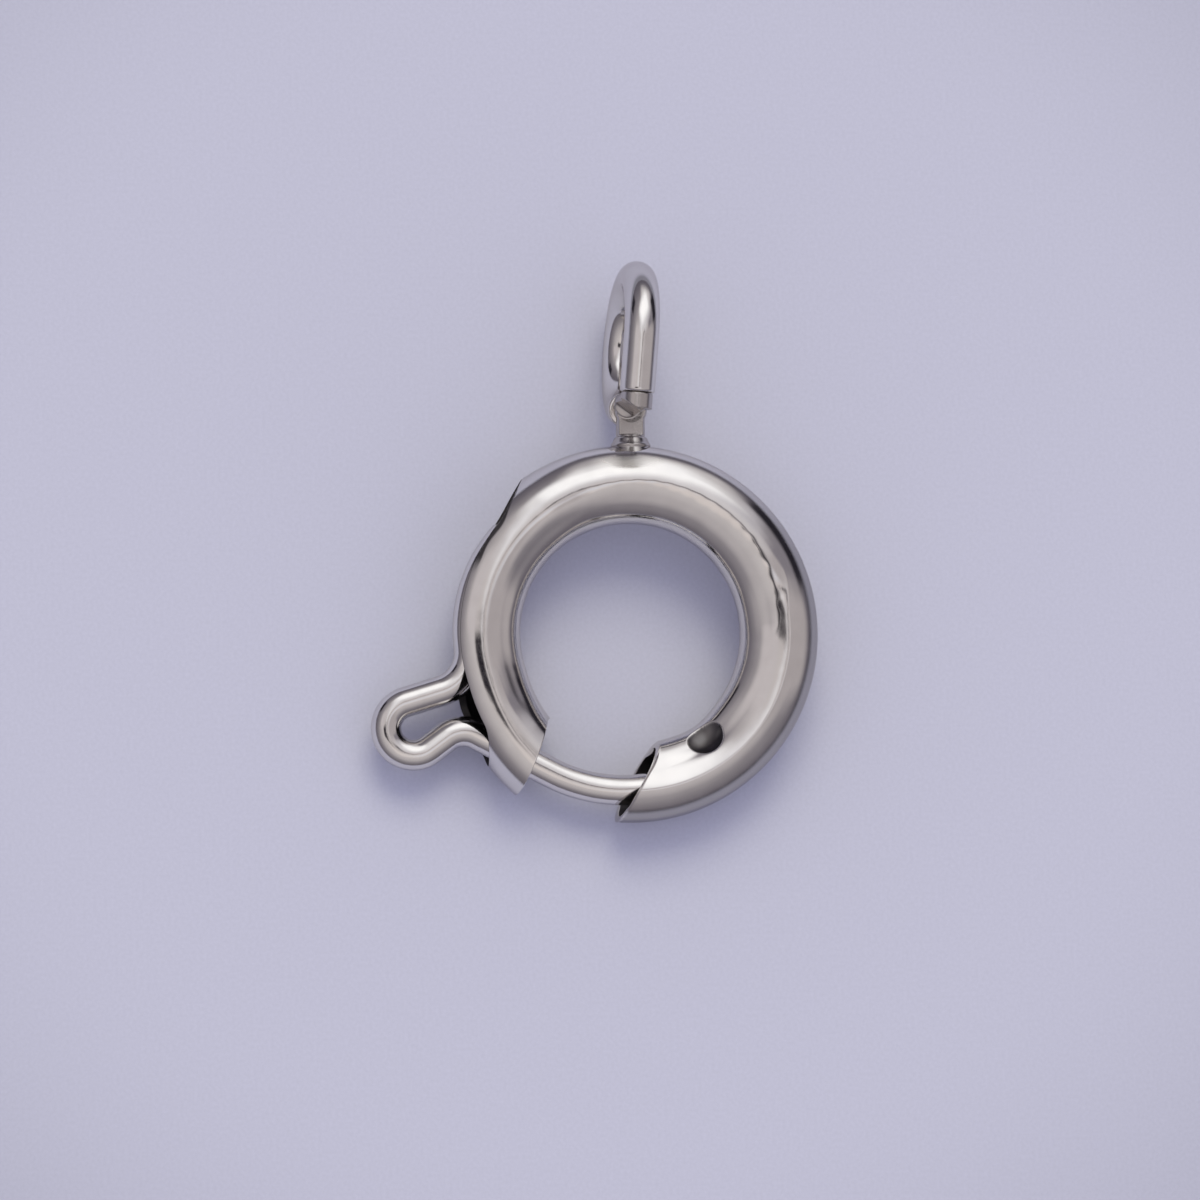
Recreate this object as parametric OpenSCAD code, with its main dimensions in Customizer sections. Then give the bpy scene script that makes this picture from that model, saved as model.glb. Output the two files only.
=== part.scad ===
// Spring ring clasp, lying at rest with its eye raised end to the back.
// The clasp is drawn flat, with the ring's centre at the origin and its eye
// along +Y. The module at_rest() then tips it onto the surface it lies on.

/* [Ring tube] */
// Radius of the tube's centreline circle
ring_r = 4.75; // [4.5:0.05:5.2]
// Outer radius of the tube
tube_r = 1.25; // [1.2:0.01:1.35]
// Thickness of the tube's wall
tube_wall = 0.2; // [0.15:0.01:0.22]
// Angle at which the left end starts to spring outwards
spring_out_a = 196; // [192:1:200]
// Length of the straight stretch where it starts
spring_out_flat = 0.3; // [0.2:0.05:0.4]
// Centreline radius of the sprung left end
spring_out_r = 5.5; // [5.3:0.05:6]

/* [Mouth] */
// Place of the right end's cut on the centreline, in degrees round the ring
right_end_a = 271.4; // [269:0.1:273]
// Slant of the right end's cut from the radial direction
right_end_slant = -28.9; // [-32:0.1:-20]
// Place of the left end's cut on the centreline, in degrees round the ring
left_end_a = 229.4; // [228:0.1:231]
// Slant of the left end's cut from the radial direction
left_end_slant = 18.6; // [12:0.1:22]
// Lean of both cuts across the ring's thickness
mouth_skew = 6; // [0:0.5:8]

/* [Slit] */
// Upper end of the slit for the trigger
slit_top_a = 124.6; // [122:0.1:128]
// Lower end of the slit
slit_end_a = 222.4; // [221:0.1:224]
// Half of the slit's width
slit_half = 1; // [0.85:0.01:1.05]
// Half width on the far side near the slit's lower end
slit_far_half = 0.66; // [0.6:0.01:0.8]

/* [Crimp] */
// Angle round the ring of the crimp that holds the coil spring
crimp_a = -55.5; // [-58:0.5:-53]
// Height of the crimp round the tube's section, up from the inner side
crimp_rise = 50; // [40:1:60]
// Radius of the crimp's round bottom
crimp_r = 0.72; // [0.6:0.01:0.85]
// Depth of the crimp below the tube's surface
crimp_depth = 0.46; // [0.35:0.01:0.55]

/* [Eye] */
// Distance from the ring's centre to the eye's centre
eye_y = 9.24; // [9.1:0.01:9.4]
// Sideways place of the eye's centre
eye_x = 0.13; // [0.05:0.01:0.16]
// Centreline radius of the eye
eye_r = 2.1; // [1.9:0.05:2.3]
// Radius of the eye's wire
eye_wire_r = 0.56; // [0.5:0.01:0.6]
// Lean of the eye to the right
eye_lean = 5; // [0:0.5:6]
// Turn of the eye about its stem
eye_turn = 3.5; // [0:0.5:8]
// Length of the eye's straight near side, down to the wire's end
eye_near = 1.76; // [1.65:0.01:1.85]
// Distance of the neck's centre below the wire's end
neck_drop = 0.19; // [0.15:0.01:0.25]
// Radius of the welded neck that joins the wire's end to the stem
neck_r = 0.42; // [0.38:0.01:0.46]

/* [Stem] */
// Sideways place of the stem
stem_x = 0.09; // [0:0.01:0.12]
// Radius of the stem
stem_r = 0.46; // [0.42:0.01:0.5]
// Distance of the stem's flat front from its axis
stem_flat = 0.26; // [0.22:0.01:0.32]
// Largest radius of the welded collar round the foot of the stem
collar_r = 0.64; // [0.6:0.01:0.68]
// Radius of the collar's top
collar_top_r = 0.5; // [0.48:0.01:0.54]
// Height of the collar over the tube's skin
collar_rise = 0.27; // [0.22:0.01:0.32]
// Radius of the weld where it meets the tube
weld_r = 0.76; // [0.7:0.01:0.85]

/* [Bolt] */
// Radius of the bolt's wire
wire_r = 0.49; // [0.46:0.01:0.5]
// How much thinner the wire's radius is where it is bent
bend_thin = 0.004; // [0.003:0.001:0.01]
// Distance from the ring's centre at which the trigger's upper leg leaves the tail
leg_r = 5.16; // [5.1:0.01:5.2]
// Angle at which the upper leg leaves the tail
leg_a = 185; // [184:0.5:186]
// Straight stretch between the tail's bend and the upper leg's
leg_flat = 0.15; // [0.1:0.01:0.2]
// Bend radius of the tail, which lies in the tube above the trigger
tail_r = 4.5; // [4.4:0.05:4.7]
// Angle of the bend from the tail's end to the upper leg
tail_turn = 49; // [45:1:52]
// Bend radius where the upper leg leaves the tail
upper_bend_r = 1.27; // [1.2:0.01:1.35]
// Heading of the upper leg
upper_leg_h = 197; // [195:0.5:199]
// Length of the upper leg's straight stretch
upper_leg = 1.2; // [1.1:0.01:1.3]
// Centreline radius of the trigger's round end
loop_r = 0.86; // [0.82:0.01:0.9]
// Heading of the lower leg as it leaves the round end
lower_leg_h = 36; // [34:0.5:38]
// Length of the lower leg's straight stretch
lower_leg = 0.7; // [0.6:0.01:0.8]
// Bend radius where the lower leg turns into the tube
lower_bend_r = 0.89; // [0.8:0.01:1]
// Radius of the gate's arc
gate_r = 5.02; // [4.95:0.01:5.05]
// Sideways place of the centre of the gate's arc
gate_x = -0.25; // [-0.28:0.01:-0.22]
// Lengthways place of the centre of the gate's arc
gate_y = 0.06; // [0.03:0.01:0.09]
// Angle of the gate's tip
gate_tip_a = 280; // [278:0.5:282]

/* [Coil spring] */
// Mean radius of the coil
coil_r = 0.61; // [0.55:0.01:0.65]
// Radius of the coil's wire
coil_wire_r = 0.12; // [0.1:0.01:0.13]
// Number of turns
coil_turns = 34; // [30:1:38]
// Angle of the coil's end at the crimp
coil_start_a = -45; // [-46:1:-42]
// Space between the coil's end turn and the bolt's tail
coil_gap = 0.03; // [0.02:0.01:0.1]

/* [Resting pose] */
// Tilt of the flat clasp, which the eye lifts at the back
rest_tilt = 5.75; // [5:0.01:6.5]
// Roll of the flat clasp onto its left end
rest_roll = -1.76; // [-2.5:0.01:-1]
// Height of the ring's centre over the surface
rest_lift = 1.728; // [1.5:0.001:2]
// Ring's centre from the middle of the whole clasp, sideways
origin_x = 1.133; // [0:0.001:2]
// Ring's centre from the middle of the whole clasp, lengthways
origin_y = -2.935; // [-4:0.001:-2]

/* [Hidden] */
$fn = 96;
steel = [0.76, 0.74, 0.71];
dark_steel = [0.62, 0.61, 0.6];
bore_r = tube_r - tube_wall;
skin_r = ring_r + tube_r;
mouth_mid_a = (right_end_a + left_end_a) / 2;
right_lap_a = 12;
left_lap_a = 9;
tube_start_a = right_end_a - 360 - right_lap_a;
sprung_turn = (left_end_a + left_lap_a - spring_out_a) * ring_r / spring_out_r;
cut_reach = 2.2;
wire_lap = 0.04;
slit_band_a = slit_top_a + 16;
slit_band_end_a = 188;
slit_lap_a = 1;
slit_top_mid_a = 136;
slit_end_mid_a = 205;
slit_far_full_a = 203;
slit_near_nose_a = 211;
slit_far_nose_a = 214;
crimp_out = tube_r + crimp_r - crimp_depth;
crimp_core_a = 30;
weld_core_a = 30;
weld_sink = 0.4;
collar_sink = 0.06;
collar_step = 0.03;
stem_sink = 0.1;
stem_gap = 0.1;
stem_top = eye_y - eye_near - stem_gap;
stem_cut = 2;
joint_r = eye_wire_r - 0.02;
neck_y = -eye_near - neck_drop;
nose_steps = 8;
coil_sides = 5;
coil_steps = 12;

// Unit vector at an angle in the ring's plane.
function unit(a) = [cos(a), sin(a)];
// Unit vector to the left of a heading.
function left(h) = [-sin(h), cos(h)];
// Distance along the tube's skin from one angle round the ring to another.
function along(a, a0) = skin_r * sin(a - a0);

// The bolt's path, worked out from its bends: each centre and where it ends.
gate_c = [gate_x, gate_y];
leg_p = leg_r * unit(leg_a);
tail_p = leg_p - leg_flat * left(leg_a);
tail_c = tail_p - tail_r * unit(leg_a);
tail_end_p = tail_c + tail_r * unit(leg_a - tail_turn);
upper_bend_c = (leg_r + upper_bend_r) * unit(leg_a);
upper_leg_p = upper_bend_c + upper_bend_r * left(upper_leg_h);
loop_in_p = upper_leg_p + upper_leg * unit(upper_leg_h);
loop_c = loop_in_p + loop_r * left(upper_leg_h);
loop_out_p = loop_c - loop_r * left(lower_leg_h);
lower_leg_p = loop_out_p + lower_leg * unit(lower_leg_h);
lower_bend_c = lower_leg_p - lower_bend_r * left(lower_leg_h);

// The straight stretch that touches both the lower bend and the gate's arc.
bend_to_gate = lower_bend_c - gate_c;
shank_h = atan2(bend_to_gate[1], bend_to_gate[0]) + 180
    - asin((gate_r + lower_bend_r) / norm(bend_to_gate));
shank_p = lower_bend_c + lower_bend_r * left(shank_h);
gate_p = gate_c - gate_r * left(shank_h);

// A point at a distance from the ring's centre, moved along a slanted cut.
function on_cut(a, slant, d) = ring_r * unit(a) + d * unit(a + slant);

// A quarter of an ellipse from (x0, h) to (x1, 0).
function quarter(x0, x1, h) =
    [for (i = [0:nose_steps]) [x0 + (x1 - x0) * sin(90 * i / nose_steps), h * cos(90 * i / nose_steps)]];

function reversed(list) = [for (i = [len(list) - 1:-1:0]) list[i]];

module at_rest() {
    translate([origin_x, origin_y, rest_lift])
        rotate([rest_tilt, rest_roll, 0])
            children();
}

// Sweeps a section round a centre in the ring's plane.
module bend(centre, r, from_a, to_a) {
    translate([centre[0], centre[1], 0])
        rotate(from_a)
            rotate_extrude(angle = to_a - from_a)
                translate([r, 0])
                    children();
}

// Sweeps a section straight between two points in the ring's plane, and a
// little past both of them where it laps over the bends beside it.
module rod(from_p, to_p, lap = 0) {
    heading = atan2(to_p[1] - from_p[1], to_p[0] - from_p[0]);
    translate([from_p[0], from_p[1], 0])
        rotate([0, 90, heading])
            translate([0, 0, -lap])
                linear_extrude(norm(to_p - from_p) + 2 * lap)
                    children();
}

// The tube's whole run, with its left end sprung outwards. It is drawn with
// the start of the sprung end on the X axis, so that its pieces meet exactly.
module tube() {
    rotate(spring_out_a) {
        bend([0, 0], ring_r, 0, tube_start_a - spring_out_a)
            tube_section();
        rod([ring_r, 0], [ring_r, spring_out_flat])
            tube_section();
        bend([ring_r - spring_out_r, spring_out_flat], spring_out_r, 0, sprung_turn)
            tube_section();
    }
}

module tube_section() {
    difference() {
        circle(tube_r);
        circle(bore_r);
    }
}

// A solid core that reaches halfway through the tube's wall.
module core(from_a, to_a) {
    bend([0, 0], ring_r, from_a, to_a)
        circle(bore_r + tube_wall / 2);
}

// A cutter pushed straight in from outside the ring, its outline in
// distance round the ring and height.
module skin_cut(a) {
    rotate(a)
        translate([ring_r, 0, 0])
            rotate([90, 0, 90])
                linear_extrude(cut_reach)
                    children();
}

module slit() {
    rotate(slit_band_a)
        rotate_extrude(angle = slit_band_end_a - slit_band_a)
            translate([ring_r, -slit_half])
                square([cut_reach, 2 * slit_half]);
    top_x = along(slit_top_a, slit_top_mid_a);
    top_full_x = along(slit_band_a + slit_lap_a, slit_top_mid_a);
    top_edge = quarter(top_full_x, top_x, slit_half);
    skin_cut(slit_top_mid_a)
        polygon(concat(top_edge, [for (p = reversed(top_edge)) [p[0], -p[1]]]));
    band_x = along(slit_band_end_a - slit_lap_a, slit_end_mid_a);
    far_full_x = along(slit_far_full_a, slit_end_mid_a);
    end_x = along(slit_end_a, slit_end_mid_a);
    near_edge = quarter(along(slit_near_nose_a, slit_end_mid_a), end_x, slit_half);
    far_edge = quarter(along(slit_far_nose_a, slit_end_mid_a), end_x, slit_far_half);
    skin_cut(slit_end_mid_a)
        polygon(concat(
            [[band_x, slit_half]],
            near_edge,
            [for (p = reversed(far_edge)) [p[0], -p[1]]],
            [[far_full_x, -slit_far_half], [band_x, -slit_half]]
        ));
}

// The opening between the tube's two ends, which the gate closes.
module mouth() {
    rotate(a = -mouth_skew, v = [cos(mouth_mid_a), sin(mouth_mid_a), 0])
        linear_extrude(2 * cut_reach, center = true)
            polygon([
                on_cut(right_end_a, right_end_slant, -cut_reach),
                on_cut(right_end_a, right_end_slant, cut_reach),
                on_cut(left_end_a, left_end_slant, cut_reach),
                on_cut(left_end_a, left_end_slant, -cut_reach)
            ]);
}

// Moves a piece to the crimp, a given distance out from the tube's centreline.
module at_crimp(distance) {
    rotate(crimp_a)
        translate([ring_r - distance * cos(crimp_rise), 0, distance * sin(crimp_rise)])
            children();
}

// The wall that the crimp pushes into the bore.
module crimp_wall() {
    intersection() {
        at_crimp(crimp_out)
            sphere(crimp_r + tube_wall);
        core(crimp_a - crimp_core_a, crimp_a + crimp_core_a);
    }
}

// Stem's axis along +Y, with +Z at the front.
module on_stem(y) {
    translate([stem_x, y, 0])
        rotate([-90, 0, 0])
            children();
}

// The weld and its collar round the stem's foot, kept out of the bore.
module weld() {
    difference() {
        union() {
            on_stem(ring_r)
                cylinder(h = skin_r - weld_sink - ring_r, r = weld_r);
            on_stem(skin_r - weld_sink)
                cylinder(h = weld_sink, r1 = weld_r, r2 = collar_r - collar_step);
            on_stem(skin_r - collar_sink)
                cylinder(h = collar_rise + collar_sink, r1 = collar_r, r2 = collar_top_r);
        }
        core(90 - weld_core_a, 90 + weld_core_a);
    }
}

module stem() {
    intersection() {
        union() {
            on_stem(skin_r - stem_sink)
                cylinder(h = stem_top - skin_r + stem_sink, r = stem_r);
            on_stem(eye_y - eye_r)
                sphere(joint_r);
        }
        translate([stem_x - stem_cut / 2, skin_r - stem_cut / 2, stem_flat - stem_cut])
            cube([stem_cut, 2 * stem_cut, stem_cut]);
    }
}

// The eye's wire runs up from the stem, round the far side, over the top and
// straight down the near side. A welded neck joins its end to the stem.
module eye() {
    translate([eye_x, eye_y, 0])
        rotate([0, eye_turn, -eye_lean])
            rotate([0, 90, 0]) {
                bend([0, 0], eye_r, -90, 180)
                    circle(eye_wire_r);
                rod([-eye_r, 0], [-eye_r, -eye_near])
                    circle(eye_wire_r);
                rod([0, neck_y], [-eye_r, neck_y])
                    circle(neck_r);
                translate([-eye_r, neck_y, 0])
                    sphere(neck_r);
            }
}

module ring_body() {
    color(steel)
        at_rest()
            difference() {
                union() {
                    tube();
                    weld();
                    crimp_wall();
                    stem();
                    eye();
                }
                at_crimp(crimp_out)
                    sphere(crimp_r);
                slit();
                mouth();
            }
}

// One bent wire: the tail in the tube, the trigger outside it and the gate.
module bolt() {
    color(steel)
        at_rest() {
            bend(tail_c, tail_r, leg_a - tail_turn, leg_a)
                bent_wire();
            rod(tail_p, leg_p, wire_lap)
                straight_wire();
            bend(upper_bend_c, upper_bend_r, upper_leg_h - 270, leg_a - 180)
                bent_wire();
            rod(upper_leg_p, loop_in_p, wire_lap)
                straight_wire();
            bend(loop_c, loop_r, upper_leg_h - 90, lower_leg_h + 270)
                bent_wire();
            rod(loop_out_p, lower_leg_p, wire_lap)
                straight_wire();
            bend(lower_bend_c, lower_bend_r, shank_h + 90, lower_leg_h + 90)
                bent_wire();
            rod(shank_p, gate_p, wire_lap)
                straight_wire();
            bend(gate_c, gate_r, shank_h + 270, gate_tip_a)
                bent_wire();
        }
}

module straight_wire() {
    circle(wire_r);
}

module bent_wire() {
    circle(wire_r - bend_thin);
}

// The coil spring bends along the tube's centreline, from crimp to tail.
function coil_a(t) = coil_start_a + t * (coil_last_a - coil_start_a);
function coil_point(t) =
    let (a = coil_a(t), turn = 360 * coil_turns * t, r = ring_r + coil_r * cos(turn))
    [r * cos(a), r * sin(a), coil_r * sin(turn)];
function coil_outward(t) =
    let (a = coil_a(t), turn = 360 * coil_turns * t)
    [cos(turn) * cos(a), cos(turn) * sin(a), sin(turn)];
coil_last_a = atan2(tail_end_p[1], tail_end_p[0]) - (coil_wire_r + coil_gap) / ring_r * 180 / PI;
coil_rings = coil_turns * coil_steps;

module coil_spring() {
    half_step = 0.25 / coil_rings;
    points = [
        for (i = [0:coil_rings])
            let (
                t = i / coil_rings,
                way = coil_point(t + half_step) - coil_point(t - half_step),
                out = coil_outward(t),
                side = cross(way / norm(way), out)
            )
            for (k = [0:coil_sides - 1], a = 360 * k / coil_sides)
                coil_point(t) + coil_wire_r * (cos(a) * out + sin(a) * side)
    ];
    walls = [
        for (i = [0:coil_rings - 1])
            for (k = [0:coil_sides - 1])
                let (a = i * coil_sides + k, b = i * coil_sides + (k + 1) % coil_sides)
                for (face = [[a, a + coil_sides, b], [b, a + coil_sides, b + coil_sides]])
                    face
    ];
    first = [for (k = [0:coil_sides - 1]) k];
    last = [for (k = [coil_sides - 1:-1:0]) coil_rings * coil_sides + k];
    color(dark_steel)
        at_rest()
            polyhedron(points, concat(walls, [first, last]));
}

ring_body();
bolt();
coil_spring();
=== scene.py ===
"""Looks of the spring ring clasp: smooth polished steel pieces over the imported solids.

All shapes are worked out in millimetres in the clasp's flat frame, which has the ring's
centre at the origin, the eye along +Y and the front along +Z. The same resting pose as
the solids' then lays them on the surface, in metres. Angles round the ring are in degrees
from +X. Section angles run round the tube from its outer side, over the front.
"""
import math
import bmesh
import bpy
import numpy as np
from mathutils import Matrix, Vector


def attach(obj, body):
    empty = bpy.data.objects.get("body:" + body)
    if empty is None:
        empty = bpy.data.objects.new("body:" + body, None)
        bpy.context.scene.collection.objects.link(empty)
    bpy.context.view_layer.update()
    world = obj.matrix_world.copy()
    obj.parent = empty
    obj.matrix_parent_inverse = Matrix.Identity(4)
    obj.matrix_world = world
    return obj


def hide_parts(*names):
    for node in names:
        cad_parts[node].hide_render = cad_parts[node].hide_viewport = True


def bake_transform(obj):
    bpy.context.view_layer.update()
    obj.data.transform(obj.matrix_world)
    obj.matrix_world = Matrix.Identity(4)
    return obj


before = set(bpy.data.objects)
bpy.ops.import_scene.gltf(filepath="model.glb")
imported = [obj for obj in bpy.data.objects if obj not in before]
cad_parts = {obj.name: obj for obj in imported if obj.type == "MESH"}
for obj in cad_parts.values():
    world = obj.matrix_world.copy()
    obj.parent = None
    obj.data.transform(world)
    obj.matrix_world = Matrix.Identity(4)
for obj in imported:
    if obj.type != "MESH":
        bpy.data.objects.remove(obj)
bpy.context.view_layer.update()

# ---------------------------------------------------------------- sizes, as in the solids
# the ring's centreline, the tube's outside and its wall
RING_R, TUBE_R, WALL = 4.75, 1.25, 0.2
BORE_R = TUBE_R - WALL
SKIN_R = RING_R + TUBE_R
# the left end leaves the ring here: a straight length, then a wider bend
OUT_A, OUT_FLAT, OUT_R = 196.0, 0.3, 5.5
# each mouth end's angle and the slant of its cut; both cuts are turned about the mouth's middle
RIGHT_A, RIGHT_SLANT = 271.4, -28.9
LEFT_A, LEFT_SLANT = 229.4, 18.6
MOUTH_SKEW = 6.0
START_A = RIGHT_A - 360  # the tube is measured from its right end
# the trigger's slit: its two ends, half width, and half width of the narrow part at the back
SLIT_TOP, SLIT_END, SLIT_HALF, SLIT_FAR = 124.6, 222.4, 1.0, 0.66
# the upper end is rounded over TOP_ROUND, as seen square on from TOP_SEEN
TOP_SEEN, TOP_ROUND = 136, 17
# the lower end is seen from END_SEEN; here each side starts to round, and the back to narrow
END_SEEN = 205
NEAR_ROUND_A, FAR_ROUND_A = END_SEEN + 6, END_SEEN + 9
NARROW_A, NARROW_DONE_A = END_SEEN - 18, END_SEEN - 2
# the crimp that holds the spring: angle, its way in above the flat plane, ball and depth
CRIMP_A, CRIMP_RISE, CRIMP_R, CRIMP_DEPTH = -55.5, 50.0, 0.72, 0.46
# the eye: centre, radius, wire's radius; its lean and turn, the near side's length, the neck
EYE_Y, EYE_X, EYE_R, EYE_WIRE = 9.24, 0.13, 2.1, 0.56
EYE_LEAN, EYE_TURN, EYE_NEAR, NECK_DROP, NECK_R = 5.0, 3.5, 1.76, 0.19, 0.42
# the stem with its flat front, and the welded collar round its foot
STEM_X, STEM_R, STEM_FLAT, STEM_TOP = 0.09, 0.46, 0.26, 7.38
COLLAR_R, COLLAR_TOP, COLLAR_RISE, WELD_R = 0.64, 0.5, 0.27, 0.76
# the bolt's wire: tail and leg in the tube, the trigger's bends and legs (H: heading), the gate
WIRE_R = 0.49
LEG_R, LEG_A, LEG_FLAT, TAIL_R, TAIL_TURN = 5.16, 185.0, 0.15, 4.5, 49.0
UPPER_BEND, UPPER_H, UPPER_LEG = 1.27, 197.0, 1.2
LOOP_R, LOWER_H, LOWER_LEG, LOWER_BEND = 0.86, 36.0, 0.7, 0.89
GATE_R, GATE_C, GATE_TIP = 5.02, np.array([-0.25, 0.06]), 280.0
# the spring, between the crimp and the bolt's tail
COIL_R, COIL_WIRE, COIL_TURNS, COIL_START, COIL_GAP = 0.61, 0.12, 34, -45.0, 0.03
# how the clasp rests
TILT, ROLL, ORIGIN = 5.75, -1.76, np.array([1.133, -2.935, 1.728])
MM = 0.001

# ---------------------------------------------------------------- sizes of the mesh only
TRIM = 0.007  # the shown wires stay this much inside the solids' facets
SKIN_TRIM = 0.001  # and the tube's skin this much
SOFT = 0.03  # rounding of the wall's cut edges
AROUND = 264  # faces round the tube
WIRE_SIDES = 96  # faces round the bolt's and the eye's wires
SLIT_ROWS = 34  # rows round each rounded end of the slit
CRIMP_WIDER = 0.07  # the shown dent's ball against the solids'
DENT_SOFT = 0.05  # rounding of the dent's edge


# ---------------------------------------------------------------- angles and curves
def rot(axis, degrees):
    return np.array(Matrix.Rotation(math.radians(degrees), 3, axis))


REST = rot("Y", ROLL) @ rot("X", TILT)
FRONT = REST @ np.array([0, 0, 1.0])


def unit(degrees):
    """The direction of an angle in the flat plane."""
    a = np.radians(degrees)
    return np.stack([np.cos(a), np.sin(a)], -1)


def left(heading):
    """The direction to the left of a heading."""
    a = np.radians(heading)
    return np.stack([-np.sin(a), np.cos(a)], -1)


def heading_of(way):
    return math.degrees(math.atan2(way[1], way[0]))


def ease(x, zero, one):
    """A smooth step from 0 at one value to 1 at another."""
    x = np.clip((x - zero) / (one - zero), 0, 1)
    return x * x * (3 - 2 * x)


def hump(x):
    """1 at 0, dying away to both sides."""
    return np.exp(-x ** 2)


def soft_min(a, b, k):
    """The smaller of a and b, blended where they are less than k apart."""
    h = np.clip(0.5 + 0.5 * (b - a) / k, 0, 1)
    return b + (a - b) * h - k * h * (1 - h)


def bend(p0, p1, p2, shares):
    """Points on a curve from p0 to p2 that heads for the corner p1."""
    return [(1 - s) ** 2 * p0 + 2 * s * (1 - s) * p1 + s * s * p2 for s in shares]


def arc(centre, r, a0, a1, step=0.05):
    """Points and outward normals round an arc in the flat plane."""
    n = max(6, int(abs(math.radians(a1 - a0)) * r / step))
    a = np.linspace(a0, a1, n)
    return np.asarray(centre) + r * unit(a), unit(a)


def deepen(xy):
    """Points of the flat plane with their third coordinate, 0."""
    return np.concatenate([xy, np.zeros((len(xy), 1))], 1)


# ---------------------------------------------------------------- mesh building
def build(name, co, quads, uv, weld=5e-5, look=None, shade_and_dull=None):
    """A smooth mesh from flat-frame points in mm, laid at rest, in metres.

    Points closer than weld become one. look is each face's material; the last argument maps
    names of point attributes, among them the mask of painted shade, to their values.
    """
    me = bpy.data.meshes.new(name)
    me.vertices.add(len(co))
    me.vertices.foreach_set("co", np.ascontiguousarray(co, np.float32).ravel())
    quads = np.ascontiguousarray(quads, np.int32)
    me.loops.add(quads.size)
    me.loops.foreach_set("vertex_index", quads.ravel())
    me.polygons.add(len(quads))
    me.polygons.foreach_set("loop_start", np.arange(0, quads.size, 4, dtype=np.int32))
    if look is not None:
        me.polygons.foreach_set("material_index", np.ascontiguousarray(look, np.int32))
    me.update(calc_edges=True)
    uv_layer = me.uv_layers.new(name="run")
    uv_layer.data.foreach_set("uv", np.ascontiguousarray(uv[quads.ravel()], np.float32).ravel())
    for key, marks in (shade_and_dull or {}).items():
        attribute = me.attributes.new(key, "FLOAT", "POINT")
        attribute.data.foreach_set("value", np.ascontiguousarray(marks, np.float32))
    bm = bmesh.new()
    bm.from_mesh(me)
    bmesh.ops.remove_doubles(bm, verts=bm.verts, dist=weld)
    bmesh.ops.dissolve_degenerate(bm, edges=bm.edges, dist=weld)
    bmesh.ops.recalc_face_normals(bm, faces=bm.faces)
    for f in bm.faces:
        f.smooth = True
    bm.to_mesh(me)
    bm.free()
    return place(name, me)


def place(name, me):
    """An object of a mesh in flat-frame mm, laid at rest, in metres."""
    co = np.zeros(len(me.vertices) * 3)
    me.vertices.foreach_get("co", co)
    co = (co.reshape(-1, 3) @ REST.T + ORIGIN) * MM
    me.vertices.foreach_set("co", co.astype(np.float32).ravel())
    me.update()
    return add_object(name, me)


def add_object(name, data):
    ob = bpy.data.objects.new(name, data)
    bpy.context.scene.collection.objects.link(ob)
    return ob


def grid_quads(nu, nv, first=0):
    """Faces of a grid of nu rows of nv points, numbered from first."""
    i, j = np.meshgrid(np.arange(nu - 1), np.arange(nv - 1), indexing="ij")
    near, far = first + i * nv + j, first + (i + 1) * nv + j
    return np.stack([near, far, far + 1, near + 1], -1).reshape(-1, 4)


def sweep(name, points, side, radius, cap, up=(0, 0, 1.0)):
    """A round wire along points, its ends rounded by cap. side is the in-plane normal at each."""
    run = np.concatenate([[0], np.cumsum(np.linalg.norm(np.diff(points, axis=0), axis=1))])

    def end(k, inward, sign):
        """Rows of an end, from its middle inwards: centre, radius, normal, distance."""
        inward = inward / np.linalg.norm(inward)
        rows = [(points[k] + inward * cap * (1 - math.sin(t)),
                 radius - cap + cap * math.cos(t), side[k], run[k] + sign * cap)
                for t in np.linspace(math.pi / 2, 0, 7)]
        return [(rows[0][0], 1e-5, side[k], run[k])] + rows

    clear = cap * 1.2
    inner = (run > clear) & (run < run[-1] - clear)
    rows = end(0, points[1] - points[0], 1)
    rows += [(points[i], radius, side[i], run[i]) for i in np.where(inner)[0]]
    rows += end(-1, points[-2] - points[-1], -1)[::-1]
    v = np.linspace(0, 2 * math.pi, WIRE_SIDES + 1)
    co = [p + r * (np.cos(v)[:, None] * n + np.sin(v)[:, None] * np.asarray(up))
          for p, r, n, _ in rows]
    uv = [np.stack([np.full(len(v), s), v * 0.2], -1) for _, _, _, s in rows]
    return build(name, np.concatenate(co), grid_quads(len(rows), WIRE_SIDES + 1),
                 np.concatenate(uv))


# ---------------------------------------------------------------- where things are on the tube
def ring_a(run):
    """Angle round the ring at a distance along the tube."""
    return START_A + np.degrees(run / RING_R)


def ring_run(a):
    """Distance along the tube at an angle round the ring."""
    return np.radians(a - START_A) * RING_R


ROUND_RUN = ring_run(OUT_A)  # where the tube leaves the ring


def centreline(run):
    """Centre and outward normal of the tube at a distance along it."""
    run = np.asarray(run, float)
    a = ring_a(run)
    over = run - ROUND_RUN
    along = left(OUT_A)
    flat = RING_R * unit(OUT_A) + np.clip(over, 0, OUT_FLAT)[..., None] * along
    b = OUT_A + np.degrees(np.maximum(over - OUT_FLAT, 0) / OUT_R)
    bent = (RING_R - OUT_R) * unit(OUT_A) + OUT_FLAT * along + OUT_R * unit(b)
    out, past_flat = (over > 0)[..., None], (over > OUT_FLAT)[..., None]
    centre = np.where(out, np.where(past_flat, bent, flat), RING_R * unit(a))
    return centre, np.where(out, unit(b), unit(a))


def on_tube(run, v, r):
    """The point at a distance along the tube, a section angle in radians and a radius."""
    c, e = centreline(run)
    return np.concatenate([c + (r * np.cos(v))[..., None] * e, (r * np.sin(v))[..., None]], -1)


def skin_along(run, v, a):
    """Distance along the skin from an angle round the ring."""
    return (run - ring_run(a)) * (RING_R + TUBE_R * np.cos(v)) / RING_R


def polar(points):
    """Angles of a run of points that starts at the tube's right end."""
    a = np.degrees(np.unwrap(np.arctan2(points[:, 1], points[:, 0])))
    return a + 360 * round((START_A - a[0]) / 360)


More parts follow.
